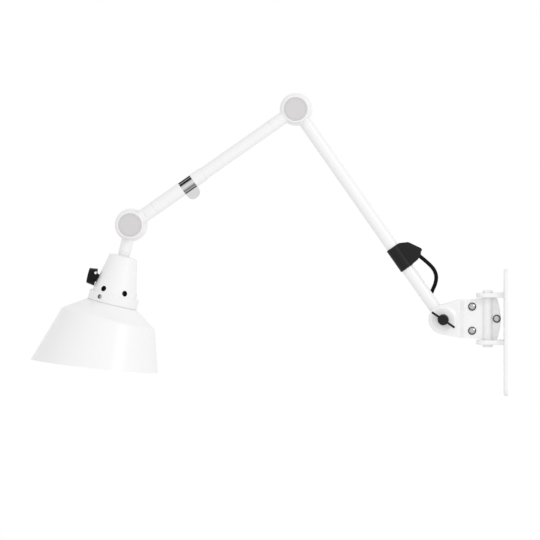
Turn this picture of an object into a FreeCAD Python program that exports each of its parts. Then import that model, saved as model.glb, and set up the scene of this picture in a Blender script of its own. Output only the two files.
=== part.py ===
import FreeCAD, Part
import math
import os

# Articulating wall lamp.  Millimetres, +Z up, the wall is the plane X = 0 and the lamp
# reaches out to -X.  The origin is the middle of the wall plate's back face.

# ---------------------------------------------------------------- wall plate and hinge
PLATE_HEIGHT = 180.0
PLATE_WIDTH = 60.0
PLATE_THICK = 5.5
PLATE_CORNER = 12.0
PLATE_EDGE_ROUND = 2.4
SCREW_HOLE_R = 2.75
SCREW_SINK_R = 5.2
SCREW_SPACING_Y = 36.0
SCREW_SPACING_Z = 144.0
HINGE_X = -28.4
HINGE_Z = 19.4
PIN_R = 5.0
PIN_HEAD_R = 7.5
PIN_HEAD_H = 3.8
PIN_HEAD_ROUND = 2.4
EAR_THICK = 6.6
EAR_EDGE_ROUND = 1.5
EAR_WIDTH = 38.0
EAR_CORNER = 14.0
EAR_REACH = 44.9
HINGE_WASHER_T = 0.8
HINGE_WASHER_R = 9.0
RUNNING = 0.05
GAP = 0.3
FAR = 500.0
TOUCH = 0.02

# ---------------------------------------------------------------- swinging bracket
SHEET = 2.2
LEAF_HALF_HEIGHT = 29.3
THROAT_HALF_HEIGHT = 26.9
STEP_X = -69.7
STEP_RUN = 7.1
LEAF_END_X = -9.9
LEAF_SHOULDER_X = -15.0
SHOULDER_X = -91.4
SHOULDER_Z = 18.2
SHOULDER_R = 20.9
DISH_FLAT_R = 15.8
DISH_HEIGHT = 2.5
RIVET_HEAD_R = 5.7
RIVET_HEAD_H = 3.2
RIVET_SHANK_R = 2.5
RIVET_X = -50.4
RIVET_HALF_SPACING = 17.1
TAIL_RIVET_X = -15.4
BOLT_R = 4.0
BOLT_HEAD_R = 8.5
BOLT_HEAD_H = 4.0
WASHER_T = 1.0
EYE_R = 14.5
EYE_HALF_WIDTH = 8.4

# ---------------------------------------------------------------- wing nut
WING_HUB_R = 7.1
WING_HUB_BASE_R = 8.0
WING_HUB_H = 12.0
WING_HUB_ROUND = 3.0
WING_BORE_DEPTH = 9.5
WING_SPAN = 39.2
WING_THICK = 3.0
WING_HEIGHT = 13.0
WING_ANGLE = 34.0

# ---------------------------------------------------------------- arms
LOWER_LENGTH = 364.0
LOWER_ANGLE = 55.0
UPPER_LENGTH = 286.0
UPPER_ANGLE = 35.0
TUBE_R = 9.0
TUBE_WALL = 1.2
UPPER_TUBE_R = 8.95
SPIGOT_LENGTH = 22.0
LOWER_TUBE_START = 17.0
ELBOW_SEAM = 42.2
HEAD_SEAM = 41.2
SLEEVE_LENGTH = 84.8
SLEEVE_R = 10.1
SLEEVE_WALL = 0.7
LINER_LENGTH = 15.0
ELBOW_MARK_AT = 26.4
HEAD_MARK_AT = 29.0
MARK_R = 2.5
MARK_DEPTH = 0.7
SEAM_BEVEL = 0.4
CLIP_LENGTH = 19.5
CLIP_FROM_HEAD = 99.3
CLIP_THICK = 0.6
CLIP_TAB_DROP = 22.3
WIRE_BORE_R = 4.0

# ---------------------------------------------------------------- arm joints (two alike)
RING_R = 23.3
RING_FRONT_R = 19.4
RING_BACK_Y = 11.0
RING_FRONT_Y = -10.0
DISC_R = 18.9
DISC_FRONT_Y = -31.0
UPPER_AXIS_Y = -20.8
FRICTION_DISC_T = 0.8
FRICTION_DISC_R = 18.0
WIRE_WAY_R = 3.2
CAP_R = 17.0
CAP_THICK = 1.6
CAP_RING_R = 14.5
SPOTFACE_R = 26.4
SPOTFACE_Y = -29.15
CAVITY_R = 15.0
CAVITY_DEPTH = 15.0
NUT_R = 7.5
NUT_H = 6.5
SPRING_WASHER_T = 2.2
PIVOT_HEAD_R = 7.0
PIVOT_HEAD_H = 3.6

# ---------------------------------------------------------------- head, along its axis
HEAD_TILT = 13.65
STEM_R = 8.7
STEM_END = 42.6
STEM_GROOVE_AT = 39.6
STEM_GROOVE_WIDTH = 0.8
STEM_GROOVE_DEPTH = 0.5
BUSH_R = 8.2
NIPPLE_R = 5.0
NIPPLE_LENGTH = 26.0
HOUSING_TOP = 45.6
HOUSING_TOP_R = 20.0
HOUSING_BOTTOM = 101.4
HOUSING_BOTTOM_R = 32.0
HOUSING_WALL = 2.0
HOUSING_ROUND = 3.5
COLLAR_R = 35.9
COLLAR_TOP = 102.2
COLLAR_BOTTOM = 115.8
COLLAR_WALL = 3.4
VENT_R = 4.1
VENT_AT = 96.4
VENT_COUNT = 6
COLLAR_SCREW_AT = 108.5
COLLAR_SCREW_R = 3.1
COLLAR_SCREW_H = 1.3
COLLAR_SCREW_SHANK_R = 1.6
COLLAR_SCREWS = (-30, 150)
SHADE_WALL = 1.2
SHADE_TOP = 116.0
SHADE_TOP_R = 36.4
SHADE_NECK_RISE = 11.0
SHADE_SHOULDER = 136.9
SHADE_SHOULDER_R = 67.9
SHADE_SKIRT_ANGLE = 17.4
SHADE_LIMIT = 230.0
RIM_LEFT = 219.0
RIM_RIGHT = 195.7
RIM_LEFT_REACH = 93.7
RIM_RIGHT_REACH = 86.5

# ---------------------------------------------------------------- lamp holder
HOLDER_TOP = 93.0
HOLDER_LENGTH = 36.0
HOLDER_R = 17.5
HOLDER_BORE_R = 13.6
HOLDER_FLOOR = 9.0
STRAP_THICK = 1.5
STRAP_WIDTH = 14.0

# ---------------------------------------------------------------- switch
KNOB_AT = 84.1
KNOB_START = 31.3
KNOB_END = 43.0
KNOB_BASE_R = 12.5
KNOB_TIP_R = 10.85
KNOB_SKIRT = 2.6
KNOB_DOT_R = 2.2
KNOB_DOT_AT = 0.9
SWITCH_NECK_R = 6.3
SPINDLE_R = 3.0
SWITCH_SIZE = 13.0
SWITCH_DEPTH = 12.0

# ---------------------------------------------------------------- lead
LEAD_R = 2.8
HOOD_START = 89.0
HOOD_END = 125.0
HOOD_WALL = 1.4
HOOD_NOSE_THICK = 13.0
GROMMET_FLANGE_R = 4.6
GROMMET_FLANGE_T = 0.9
GROMMET_HOLE_R = 3.6
LEAD_CLIP_T = 0.9
LEAD_CLIP_WIDTH = 8.0
LEAD_CUT_GAP = 0.1
LOOP_ROUTE = [(-130.0, 0, 112.4), (-108.4, 0.5, 95.5), (-100.8, 3.5, 82.3), (-101.9, 8.5, 69.3),
              (-108.5, 13.5, 55.9), (-110.2, 18.0, 41.8), (-104.4, 21.5, 29.0), (-92.0, 22.8, 21.4),
              (-77.5, 19.8, 20.4), (-64.9, 14.4, 24.4), (-54.4, 10.6, 28.9)]
TAIL_ROUTE = [(-54.4, 10.6, 28.9), (-46.3, 10.2, 32.7), (-37.7, 15.0, 38.4), (-29.1, 20.9, 46.0),
              (-19.1, 23.7, 51.6), (-9.1, 24.0, 52.9), (-0.8, 24.0, 52.9)]

V = FreeCAD.Vector
X, Y, Z = V(1, 0, 0), V(0, 1, 0), V(0, 0, 1)
ORIGIN = V(0, 0, 0)


# ---------------------------------------------------------------- small helpers
def cylinder(radius, height, base=ORIGIN, direction=Z):
    return Part.makeCylinder(radius, height, base, direction)


def pipe(outer, inner, height, base=ORIGIN, direction=Z):
    ahead = base - direction * TOUCH
    return cylinder(outer, height, base, direction).cut(
        cylinder(inner, height + 2 * TOUCH, ahead, direction))


def box(low, high):
    return Part.makeBox(high[0] - low[0], high[1] - low[1], high[2] - low[2], V(*low))


def rounded_wire(points, radii):
    """A closed wire through the points, each corner turned by an arc of its own radius."""
    edges, ends = [], []
    count = len(points)
    for i, corner in enumerate(points):
        before, after = points[i - 1], points[(i + 1) % count]
        to_before = (before - corner).normalize()
        to_after = (after - corner).normalize()
        if radii[i] <= 0:
            ends.append((corner, None, corner))
            continue
        half = to_before.getAngle(to_after) / 2
        reach = radii[i] / math.tan(half)
        bisector = (to_before + to_after).normalize()
        middle = corner + bisector * (radii[i] / math.sin(half) - radii[i])
        ends.append((corner + to_before * reach, middle, corner + to_after * reach))
    for i, (start, middle, end) in enumerate(ends):
        if middle is not None:
            edges.append(Part.Arc(start, middle, end).toShape())
        following = ends[(i + 1) % count][0]
        if (following - end).Length > 1e-6:
            edges.append(Part.LineSegment(end, following).toShape())
    return Part.Wire(edges)


def tangent_point(centre, radius, outside, side):
    """Where a line from an outside point touches a circle in the XZ plane, on its upper (1) or lower side."""
    away = outside - centre
    turn = math.atan2(away.z, away.x) + side * math.acos(radius / away.Length)
    return centre + V(math.cos(turn), 0, math.sin(turn)) * radius


def rounded_face(points, radii):
    return Part.Face(rounded_wire(points, radii))


def revolved(profile, radii, axis_point, axis):
    """A full turn of a closed profile of (radius, height) pairs about an axis."""
    across = X if abs(axis.x) < 0.5 else Z
    points = [axis_point + across * r + axis * h for r, h in profile]
    return rounded_face(points, radii).revolve(axis_point, axis, 360)


def placed(shape, angle, place):
    """A shape built along its own +X, turned about Y and moved to its place."""
    moved = shape.copy()
    moved.rotate(ORIGIN, Y, angle)
    moved.translate(place)
    return moved


def bevelled_rod(radius, start, end, axis_point):
    """A round rod along +X with both ends' edges broken."""
    rod = cylinder(radius, end - start, axis_point + X * start, X)
    rims = [e for e in rod.Edges if isinstance(e.Curve, Part.Circle)]
    return rod.makeChamfer(SEAM_BEVEL, rims)


def dome(radius, height, base, direction):
    """A low round head with a short straight edge."""
    edge = height * 0.3
    rise = height - edge
    ball_r = (radius ** 2 + rise ** 2) / (2 * rise)
    centre = base + direction * (height - ball_r)
    return Part.makeSphere(ball_r, centre).common(cylinder(radius, height, base, direction))


def headed_pin(head_r, head_h, shank_r, shank, seat, direction):
    """A low round head on a plain shank, turned in one piece and seated at a point."""
    edge = head_h * 0.3
    rise = head_h - edge
    ball_r = (head_r ** 2 + rise ** 2) / (2 * rise)
    half = math.asin(head_r / ball_r) / 2
    crown = V(ball_r * math.sin(half), 0, head_h - ball_r + ball_r * math.cos(half))
    arc = Part.Arc(V(0, 0, head_h), crown, V(head_r, 0, edge)).toShape()
    rest = [V(head_r, 0, edge), V(head_r, 0, 0), V(shank_r, 0, 0), V(shank_r, 0, -shank), V(0, 0, -shank),
            V(0, 0, head_h)]
    pin = Part.Face(Part.Wire([arc] + Part.makePolygon(rest).Edges)).revolve(ORIGIN, Z, 360)
    turn = FreeCAD.Rotation(Z, direction)
    pin.Placement = FreeCAD.Placement(seat, turn)
    return pin


def regular_prism(across_flats, height, base, direction):
    """A six-sided nut or bolt head about a direction along Y."""
    corner_r = across_flats / math.sqrt(3)
    points = [base + V(corner_r * math.cos(math.radians(60 * k)), 0,
                       corner_r * math.sin(math.radians(60 * k))) for k in range(6)]
    return Part.Face(Part.makePolygon(points + points[:1])).extrude(direction * height)


def export(name, shape):
    solids = shape.Solids
    if not solids or not all(s.isValid() for s in solids):
        raise RuntimeError("bad solid: " + name)
    body = solids[0] if len(solids) == 1 else Part.makeCompound(solids)
    body.exportStep("parts/" + name + ".step")
    print(f"{name}: {len(solids)} solid(s), {sum(s.Volume for s in solids):.0f} mm3")


# ---------------------------------------------------------------- wall side
EAR_INNER = LEAF_HALF_HEIGHT + HINGE_WASHER_T + 2 * TOUCH
EAR_OUTER = EAR_INNER + EAR_THICK
LEAD_ENTRY = V(*TAIL_ROUTE[-1])


def wall_plate():
    half_y, half_z = PLATE_WIDTH / 2, PLATE_HEIGHT / 2
    corners = [V(0, -half_y, -half_z), V(0, half_y, -half_z), V(0, half_y, half_z), V(0, -half_y, half_z)]
    plate = rounded_face(corners, [PLATE_CORNER] * 4).extrude(V(-PLATE_THICK, 0, 0))
    front = [e for e in plate.Edges
             if all(abs(v.X + PLATE_THICK) < 1e-6 for v in e.Vertexes)]
    plate = plate.makeFillet(PLATE_EDGE_ROUND, front)
    half_ear = EAR_WIDTH / 2
    outline = [V(-PLATE_THICK / 2, -half_ear, 0), V(-EAR_REACH, -half_ear, 0),
               V(-EAR_REACH, half_ear, 0), V(-PLATE_THICK / 2, half_ear, 0)]
    ear = rounded_face(outline, [0, EAR_CORNER, EAR_CORNER, 0]).extrude(V(0, 0, EAR_THICK))
    long_edges = [e for e in ear.Edges
                  if abs(e.Vertexes[0].Z - e.Vertexes[-1].Z) < 1e-6
                  and min(v.X for v in e.Vertexes) < -PLATE_THICK]
    ear = ear.makeFillet(EAR_EDGE_ROUND, long_edges)
    for foot in (HINGE_Z + EAR_INNER, HINGE_Z - EAR_OUTER):
        copy = ear.copy()
        copy.translate(V(0, 0, foot))
        plate = plate.fuse(copy)
    plate = plate.cut(cylinder(PIN_R + TOUCH, PLATE_HEIGHT, V(HINGE_X, 0, -half_z)))
    for y in (-SCREW_SPACING_Y / 2, SCREW_SPACING_Y / 2):
        for z in (-SCREW_SPACING_Z / 2, SCREW_SPACING_Z / 2):
            plate = plate.cut(cylinder(SCREW_HOLE_R, 2 * PLATE_THICK, V(PLATE_THICK / 2, y, z), -X))
            sink = SCREW_SINK_R - SCREW_HOLE_R
            cone = Part.makeCone(SCREW_SINK_R + TOUCH, SCREW_HOLE_R, sink + TOUCH,
                                 V(-PLATE_THICK - TOUCH, y, z), X)
            plate = plate.cut(cone)
    entry = V(PLATE_THICK / 2, LEAD_ENTRY.y, LEAD_ENTRY.z)
    return plate.cut(cylinder(GROMMET_HOLE_R, 2 * PLATE_THICK, entry, -X)).removeSplitter()


def hinge_pin():
    half = EAR_OUTER + TOUCH
    ends = [(0, -half - PIN_HEAD_H), (PIN_HEAD_R, -half - PIN_HEAD_H), (PIN_HEAD_R, -half), (PIN_R, -half),
            (PIN_R, half), (PIN_HEAD_R, half), (PIN_HEAD_R, half + PIN_HEAD_H), (0, half + PIN_HEAD_H)]
    rounds = [0, PIN_HEAD_ROUND, 0.3, 0, 0, 0.3, PIN_HEAD_ROUND, 0]
    return revolved(ends, rounds, V(HINGE_X, 0, HINGE_Z), Z)


def hinge_washers():
    low = V(HINGE_X, 0, HINGE_Z - EAR_INNER + TOUCH)
    high = V(HINGE_X, 0, HINGE_Z + LEAF_HALF_HEIGHT + TOUCH)
    rings = [pipe(HINGE_WASHER_R, PIN_R + RUNNING, HINGE_WASHER_T, base) for base in (low, high)]
    return Part.makeCompound(rings)


def wall_grommet():
    face = V(-PLATE_THICK - TOUCH, LEAD_ENTRY.y, LEAD_ENTRY.z)
    body = cylinder(GROMMET_HOLE_R - TOUCH, PLATE_THICK, face, X)
    body = body.fuse(cylinder(GROMMET_FLANGE_R, GROMMET_FLANGE_T, face, -X))
    return body.cut(cylinder(LEAD_R + TOUCH, 4 * PLATE_THICK, face - X * 2 * PLATE_THICK, X)).removeSplitter()


# ---------------------------------------------------------------- swinging bracket
THROAT_Y = EYE_HALF_WIDTH + WASHER_T + 2 * TOUCH
PIVOT = V(SHOULDER_X, 0, SHOULDER_Z)


def leaf_outline():
    """The bracket seen from the front: round nose, flared cheeks, barrel and a curved tail."""
    nose = SHOULDER_R
    up, down = HINGE_Z + LEAF_HALF_HEIGHT, HINGE_Z - LEAF_HALF_HEIGHT
    throat_up = V(STEP_X, 0, HINGE_Z + THROAT_HALF_HEIGHT)
    throat_down = V(STEP_X, 0, HINGE_Z - THROAT_HALF_HEIGHT)
    top, low = tangent_point(PIVOT, nose, throat_up, 1), tangent_point(PIVOT, nose, throat_down, -1)
    barrel_up, barrel_down = V(HINGE_X, 0, up), V(HINGE_X, 0, down)
    tail_up, tail_down = V(LEAF_SHOULDER_X, 0, up), V(LEAF_SHOULDER_X, 0, down)
    edges = [Part.Arc(low, PIVOT - X * nose, top).toShape(),
             Part.LineSegment(top, throat_up).toShape(),
             Part.LineSegment(throat_up, barrel_up).toShape(),
             Part.LineSegment(barrel_up, tail_up).toShape(),
             Part.Arc(tail_up, V(LEAF_END_X, 0, HINGE_Z), tail_down).toShape(),
             Part.LineSegment(tail_down, barrel_down).toShape(),
             Part.LineSegment(barrel_down, throat_down).toShape(),
             Part.LineSegment(throat_down, low).toShape()]
    return Part.Face(Part.Wire(edges))


def leaf(side):
    """One pressed plate, on the front (side -1) or the back (side +1) of the middle plane."""
    def region(throat, flat, barrel, corner, shift):
        reach = 3 * SHOULDER_R
        points = [V(SHOULDER_X - reach, -1, 0), V(SHOULDER_X - reach, throat, 0),
                  V(STEP_X + shift, throat, 0), V(STEP_X + STEP_RUN + shift, flat, 0),
                  V(0, flat, 0), V(0, -1, 0)]
        face = rounded_face(points, [0, 0, corner[0], corner[1], 0, 0])
        block = face.extrude(V(0, 0, 4 * LEAF_HALF_HEIGHT))
        block.translate(V(0, 0, HINGE_Z - 2 * LEAF_HALF_HEIGHT))
        drum = cylinder(barrel, 4 * LEAF_HALF_HEIGHT, V(HINGE_X, 0, HINGE_Z - 2 * LEAF_HALF_HEIGHT))
        return block.fuse(drum)

    slope = math.atan2(THROAT_Y - TOUCH, STEP_RUN)
    shift = SHEET * math.tan(slope / 2)
    outer = region(THROAT_Y + SHEET, TOUCH + SHEET, PIN_R + RUNNING + SHEET, (4.2, 2.0), shift)
    inner = region(THROAT_Y, TOUCH, PIN_R + RUNNING, (2.0, 4.2), 0)
    plate = outer.cut(inner)
    outline = leaf_outline()
    outline.translate(V(0, -2, 0))
    outline = outline.extrude(V(0, THROAT_Y + SHEET + 4, 0))
    plate = plate.common(outline).cut(box((-FAR, -FAR, -FAR), (FAR, TOUCH, FAR)))
    dish_out = Part.makeCone(SHOULDER_R - 0.4, DISH_FLAT_R, DISH_HEIGHT,
                             PIVOT + Y * (THROAT_Y + SHEET), Y)
    dish_foot = cylinder(SHOULDER_R - 0.4, SHEET / 2, PIVOT + Y * (THROAT_Y + SHEET / 2), Y)
    dish_in = Part.makeCone(SHOULDER_R - 2.6, DISH_FLAT_R - 0.9, DISH_HEIGHT, PIVOT + Y * THROAT_Y, Y)
    plate = plate.fuse(dish_out).fuse(dish_foot).cut(dish_in)
    plate = plate.cut(cylinder(BOLT_R + TOUCH, 40, PIVOT, Y))
    rivets = [V(RIVET_X, 0, HINGE_Z + s * RIVET_HALF_SPACING) for s in (-1, 1)]
    for place in rivets + [V(TAIL_RIVET_X, 0, HINGE_Z)]:
        plate = plate.cut(cylinder(RIVET_SHANK_R + TOUCH, 20, place, Y))
    plate = plate.removeSplitter()
    if side < 0:
        plate = plate.mirror(ORIGIN, Y)
    return plate


def bracket_rivets():
    places = [V(RIVET_X, 0, HINGE_Z + s * RIVET_HALF_SPACING) for s in (-1, 1)]
    places.append(V(TAIL_RIVET_X, 0, HINGE_Z))
    face = SHEET + 2 * TOUCH
    rivets = []
    for i, place in enumerate(places):
        back = face + (LEAD_CLIP_T + TOUCH if i == 1 else 0)
        rivet = cylinder(RIVET_SHANK_R, face + back, place - Y * face, Y)
        rivet = rivet.fuse(dome(RIVET_HEAD_R, RIVET_HEAD_H, place - Y * face, -Y))
        rivet = rivet.fuse(dome(RIVET_HEAD_R * 0.85, RIVET_HEAD_H * 0.8, place + Y * back, Y))
        rivets.append(rivet.removeSplitter())
    return Part.makeCompound(rivets)


DISH_FACE_Y = THROAT_Y + SHEET + DISH_HEIGHT


def shoulder_bolt():
    end = DISH_FACE_Y + WING_BORE_DEPTH - 1
    back = DISH_FACE_Y + TOUCH
    shank = cylinder(BOLT_R, end + back, PIVOT - Y * end, Y)
    head = dome(BOLT_HEAD_R, BOLT_HEAD_H, PIVOT + Y * back, Y)
    return shank.fuse(head).removeSplitter()


def friction_washers():
    """One each side of the arm's eye, sunk in the plates' dishes."""
    depth = WASHER_T + DISH_HEIGHT
    starts = [EYE_HALF_WIDTH + TOUCH, -EYE_HALF_WIDTH - TOUCH - depth]
    discs = [pipe(DISH_FLAT_R - 1.6, BOLT_R + TOUCH, depth, PIVOT + Y * low, Y) for low in starts]
    return Part.makeCompound(discs)


def wing_nut():
    base = PIVOT - Y * (DISH_FACE_Y + TOUCH)
    profile = [(0, 0), (WING_HUB_BASE_R, 0), (WING_HUB_R, -WING_HUB_H), (0, -WING_HUB_H)]
    hub = revolved(profile, [0, 0.5, WING_HUB_ROUND, 0], base, Y)
    half = WING_SPAN / 2
    points = [V(0, -1.5, 0), V(0, -WING_HUB_H + 1, 0), V(half - 6, -WING_HEIGHT, 0), V(half, -WING_HEIGHT, 0),
              V(half, -WING_HEIGHT + 6, 0), V(WING_HUB_R - 1, -1.5, 0)]
    wing = rounded_face(points, [0, 0, 4, 4, 2.5, 0]).extrude(V(0, 0, WING_THICK))
    wing.translate(V(0, 0, -WING_THICK / 2))
    other = wing.copy()
    other.rotate(ORIGIN, Y, 180)
    for blade in (wing, other):
        blade.rotate(ORIGIN, Y, WING_ANGLE)
        blade.translate(base)
        hub = hub.fuse(blade)
    return hub.cut(cylinder(BOLT_R + RUNNING, WING_BORE_DEPTH + 1, base + Y, -Y)).removeSplitter()


def lead_clip():
    """A strip under the upper rivet's back head that holds the lead in a closed loop."""
    seat = V(RIVET_X, SHEET + 3 * TOUCH, HINGE_Z + RIVET_HALF_SPACING)
    before, held, after = V(*LOOP_ROUTE[-2]), V(*LOOP_ROUTE[-1]), V(*TAIL_ROUTE[1])
    along = (after - before).normalize()
    ring_r = LEAD_R + TOUCH + LEAD_CLIP_T
    loop = cylinder(ring_r, LEAD_CLIP_WIDTH, held - along * (LEAD_CLIP_WIDTH / 2), along)
    down = (V(held.x, seat.y, held.z) - seat).normalize()
    across = down.cross(Y).normalize()
    reach = (held - seat).dot(down)
    half = LEAD_CLIP_WIDTH / 2
    strap = [seat + across * half, seat - across * half,
             seat + down * reach - across * half, seat + down * reach + across * half]
    strip = Part.Face(Part.makePolygon(strap + strap[:1])).extrude(Y * LEAD_CLIP_T)
    post = [seat + down * reach - across * half, seat + down * reach + across * half]
    post += [p - down * LEAD_CLIP_T for p in reversed(post)]
    post = Part.Face(Part.makePolygon(post + post[:1])).extrude(Y * (held.y - seat.y))
    clip = cylinder(half + 0.6, LEAD_CLIP_T, seat, Y).fuse(strip).fuse(post).fuse(loop)
    for start, end in ((before, held), (held, after)):
        step = (end - start).normalize()
        clip = clip.cut(cylinder(LEAD_R + 0.1, 30, held - step * 15, step))
    return clip.cut(cylinder(RIVET_SHANK_R + TOUCH, 10, seat - Y * 5, Y)).removeSplitter()


# ---------------------------------------------------------------- arms, each along its own +X
LOWER_TURN = 180 + LOWER_ANGLE
UPPER_TURN = 180 - UPPER_ANGLE


def arm_end(start, length, angle):
    turn = math.radians(angle)
    return start + V(math.cos(turn), 0, -math.sin(turn)) * length


ELBOW = arm_end(PIVOT, LOWER_LENGTH, LOWER_TURN)
HEAD = arm_end(ELBOW, UPPER_LENGTH, UPPER_TURN)
TUBE_BORE = TUBE_R - TUBE_WALL
STUB_END = RING_R + 0.4


def shoulder_eye():
    half = EYE_HALF_WIDTH
    eye = cylinder(EYE_R, 2 * half, V(0, -half, 0), Y)
    stub = cylinder(TUBE_R - 0.4, LOWER_TUBE_START, ORIGIN, X)
    spigot = cylinder(TUBE_BORE - TOUCH, SPIGOT_LENGTH, X * (LOWER_TUBE_START - 1), X)
    body = eye.fuse(stub.common(box((0, -half, -20), (40, half, 20)))).fuse(spigot)
    return body.cut(cylinder(BOLT_R + RUNNING, 60, V(0, -30, 0), Y)).removeSplitter()


def lower_tube():
    start, end = LOWER_TUBE_START + TOUCH, LOWER_LENGTH - STUB_END - TOUCH
    tube = pipe(TUBE_R, TUBE_BORE, end - start, X * start, X)
    middle = (HOOD_START + HOOD_END) / 2
    return tube.cut(cylinder(LEAD_R + 1.2, 20, X * middle, -Z))


def rear_shell(stub_r, stub_end, spigot_r, spigot_end, bore_r):
    """The larger, rear half of an arm joint, with its stub along +X."""
    profile = [(0, RING_BACK_Y), (RING_R - 5, RING_BACK_Y), (RING_R, RING_BACK_Y - 6),
               (RING_R, RING_FRONT_Y + 6.5), (RING_FRONT_R, RING_FRONT_Y), (0, RING_FRONT_Y)]
    shell = revolved(profile, [0, 6, 4, 5.5, 2.2, 0], ORIGIN, Y)
    shell = shell.fuse(cylinder(stub_r, stub_end, ORIGIN, X))
    if spigot_end > stub_end:
        shell = shell.fuse(cylinder(spigot_r, spigot_end, ORIGIN, X))
    shell = shell.cut(pipe(CAVITY_R, PIVOT_HEAD_R, -RING_FRONT_Y + 4, V(0, RING_FRONT_Y - TOUCH, 0), Y))
    shell = shell.cut(cylinder(BOLT_R + TOUCH, 60, V(0, -30, 0), Y))
    sink = V(0, RING_BACK_Y - PIVOT_HEAD_H + 1, 0)
    shell = shell.cut(cylinder(PIVOT_HEAD_R + 0.4, 10, sink, Y))
    wires = cylinder(bore_r, max(stub_end, spigot_end), X * (PIVOT_HEAD_R + 2), X)
    return shell.cut(wires).removeSplitter()


def front_shell(fitting_r, seam, spigot_r, mark_at):
    """The smaller, front half of an arm joint, with its fitting along +X."""
    back = RING_FRONT_Y - FRICTION_DISC_T - 2 * TOUCH
    profile = [(0, back), (DISC_R, back), (DISC_R, DISC_FRONT_Y), (0, DISC_FRONT_Y)]
    shell = revolved(profile, [0, 1.0, 0.9, 0], ORIGIN, Y)
    fitting = bevelled_rod(fitting_r, 0, seam, UPPER_AXIS)
    spot = pipe(3 * SPOTFACE_R, SPOTFACE_R, 20, V(0, SPOTFACE_Y, 0), -Y)
    keep = cylinder(3 * SPOTFACE_R, 60, V(0, SPOTFACE_Y, 0), Y)
    fitting = fitting.common(keep.fuse(spot))
    spigot = cylinder(spigot_r, SPIGOT_LENGTH, V(seam - 1, UPPER_AXIS_Y, 0), X)
    shell = shell.fuse(fitting).fuse(spigot)
    shell = shell.cut(cylinder(CAP_R + TOUCH, CAP_THICK + 1, V(0, DISC_FRONT_Y + CAP_THICK, 0), -Y))
    shell = shell.cut(cylinder(CAVITY_R, CAVITY_DEPTH, V(0, DISC_FRONT_Y + CAVITY_DEPTH, 0), -Y))
    shell = shell.cut(cylinder(BOLT_R + RUNNING, 60, V(0, -50, 0), Y))
    mark = V(mark_at, UPPER_AXIS_Y - fitting_r + MARK_DEPTH, 0)
    shell = shell.cut(cylinder(MARK_R, 2 * MARK_DEPTH + 1, mark, -Y))
    way = (BOLT_R + CAVITY_R) / 2 + 1
    shell = shell.cut(cylinder(WIRE_WAY_R, 30, V(way, DISC_FRONT_Y + CAVITY_DEPTH - 1, 0), Y))
    wires = cylinder(WIRE_BORE_R, seam + SPIGOT_LENGTH, V(CAVITY_R - 2, UPPER_AXIS_Y, 0), X)
    return shell.cut(wires).removeSplitter()


def joint_cap():
    front = DISC_FRONT_Y - 0.3
    profile = [(0, front + CAP_THICK), (CAP_R, front + CAP_THICK), (CAP_R, front), (0, front)]
    cap = revolved(profile, [0, 0, 0.6, 0], ORIGIN, Y)
    groove = pipe(CAP_RING_R + 0.25, CAP_RING_R - 0.25, 0.5, V(0, front - 0.2, 0), Y)
    skirt = pipe(CAVITY_R - TOUCH, CAVITY_R - 1.2, 2.5, V(0, front + CAP_THICK - TOUCH, 0), Y)
    return cap.fuse(skirt).cut(groove).removeSplitter()


SEAT_Y = DISC_FRONT_Y + CAVITY_DEPTH


def pivot_bolt():
    """Sunk round head at the back, shank through both halves, end under the cap."""
    back = RING_BACK_Y - PIVOT_HEAD_H + 1 + TOUCH
    end = SEAT_Y - SPRING_WASHER_T - NUT_H - 1.5
    head = dome(PIVOT_HEAD_R, PIVOT_HEAD_H, V(0, back, 0), Y)
    return cylinder(BOLT_R, back - end, V(0, end, 0), Y).fuse(head).removeSplitter()


def spring_washer():
    wide = Part.makeCone(NUT_R + 2.5, NUT_R, SPRING_WASHER_T, V(0, SEAT_Y - TOUCH, 0), -Y)
    return wide.cut(cylinder(BOLT_R + RUNNING, 10, V(0, SEAT_Y + 2, 0), -Y))


def pivot_nut():
    base = V(0, SEAT_Y - SPRING_WASHER_T - 2 * TOUCH, 0)
    nut = regular_prism(2 * NUT_R * 0.866, NUT_H, base, -Y)
    return nut.cut(cylinder(BOLT_R + TOUCH, 12, base + Y, -Y))


def friction_disc():
    return pipe(FRICTION_DISC_R, CAVITY_R + GAP, FRICTION_DISC_T,
                V(0, RING_FRONT_Y - FRICTION_DISC_T - TOUCH, 0), Y)


UPPER_AXIS = V(0, UPPER_AXIS_Y, 0)
SLEEVE_START = UPPER_LENGTH - HEAD_SEAM - SLEEVE_LENGTH
SLEEVE_BORE = SLEEVE_R - SLEEVE_WALL
CLIP_AT = UPPER_LENGTH - CLIP_FROM_HEAD
LINER_R = SLEEVE_BORE - TOUCH


def upper_tube():
    start = ELBOW_SEAM + TOUCH
    end = UPPER_LENGTH - HEAD_SEAM - SPIGOT_LENGTH - 1
    tube = bevelled_rod(UPPER_TUBE_R, start, end, UPPER_AXIS)
    return tube.cut(cylinder(UPPER_TUBE_R - TUBE_WALL, 2 * UPPER_LENGTH, UPPER_AXIS, X))


def swivel_sleeve():
    """The outer tube that turns on the arm, with a window all round its front for the clip."""
    start = UPPER_AXIS + X * SLEEVE_START
    tube = bevelled_rod(SLEEVE_R, SLEEVE_START, SLEEVE_START + SLEEVE_LENGTH - TOUCH, UPPER_AXIS)
    tube = tube.cut(cylinder(SLEEVE_BORE, 2 * SLEEVE_LENGTH, start - X, X))
    low = V(CLIP_AT - CLIP_LENGTH / 2 - GAP / 2, UPPER_AXIS_Y - 2 * SLEEVE_R, -2 * SLEEVE_R)
    high = V(CLIP_AT + CLIP_LENGTH / 2 + GAP / 2, UPPER_AXIS_Y + SLEEVE_R * 0.55, 2 * SLEEVE_R)
    return tube.cut(box((low.x, low.y, low.z), (high.x, high.y, high.z)))


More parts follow.
